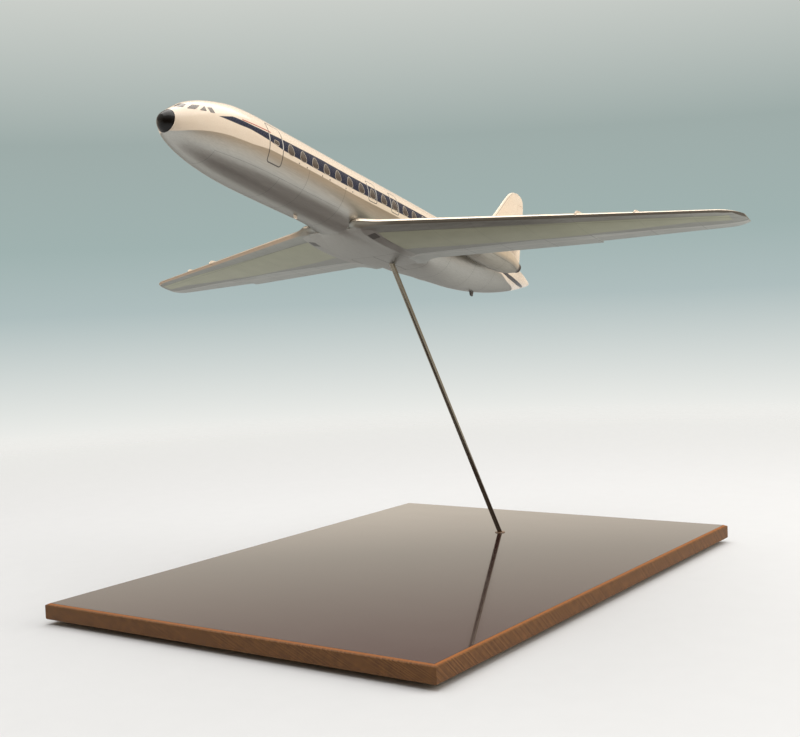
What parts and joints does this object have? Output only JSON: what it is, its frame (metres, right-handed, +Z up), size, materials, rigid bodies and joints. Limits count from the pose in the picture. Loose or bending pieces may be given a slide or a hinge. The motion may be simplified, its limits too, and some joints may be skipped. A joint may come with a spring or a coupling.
{
  "type": "desk display model of a narrow-body jet airliner on a stand",
  "caption": "Scale model of a rear-engined twin-jet airliner, held nose-up by a slanted steel rod on a dark laminated wooden board with small feet.",
  "frame": {"origin": "bottom middle of the whole model's box, on the surface that its feet stand on", "axes": "+X to the nose along the board's long side, +Y to the aircraft's port side, +Z up"},
  "size_m": [0.6244, 0.6849, 0.4512],
  "materials": {
    "airframe_paint": "gloss enamel, white above and silver below",
    "radome_gloss": "gloss black",
    "wing_paint": "satin silver and pale olive grey",
    "dark_paint": "matt dark grey",
    "exhaust_steel": "burnished",
    "rod_steel": "drawn steel rod",
    "brown_ring": "oiled",
    "laminate": "high-gloss dark brown laminate",
    "edge_wood": "oiled, fine oblique grain",
    "chipboard": "raw chipboard",
    "foot_rubber": "matt"
  },
  "bodies": {
    "root": {"belly_blade": "airframe_paint", "board_core": "chipboard", "edge_strip_front": "edge_wood", "edge_strip_port": "edge_wood", "edge_strip_rear": "edge_wood", "edge_strip_starboard": "edge_wood", "exhaust_pipe_port": "exhaust_steel", "exhaust_pipe_starboard": "exhaust_steel", "fence_inner_port": "airframe_paint", "fence_inner_starboard": "airframe_paint", "fence_outer_port": "airframe_paint", "fence_outer_starboard": "airframe_paint", "fin": "airframe_paint", "foot_front_port": "foot_rubber", "foot_front_starboard": "foot_rubber", "foot_rear_port": "foot_rubber", "foot_rear_starboard": "foot_rubber", "fuselage": "airframe_paint", "intake_face_port": "dark_paint", "intake_face_starboard": "dark_paint", "nacelle_port": "wing_paint", "nacelle_starboard": "wing_paint", "pylon_port": "wing_paint", "pylon_starboard": "wing_paint", "radome": "radome_gloss", "rod": "rod_steel", "rod_ring": "brown_ring", "roof_blade": "airframe_paint", "rudder": "airframe_paint", "tail_mast": "dark_paint", "tailplane_port": "airframe_paint", "tailplane_starboard": "airframe_paint", "top_laminate": "laminate", "wing_port": "wing_paint", "wing_starboard": "wing_paint"}
  },
  "joints": []
}
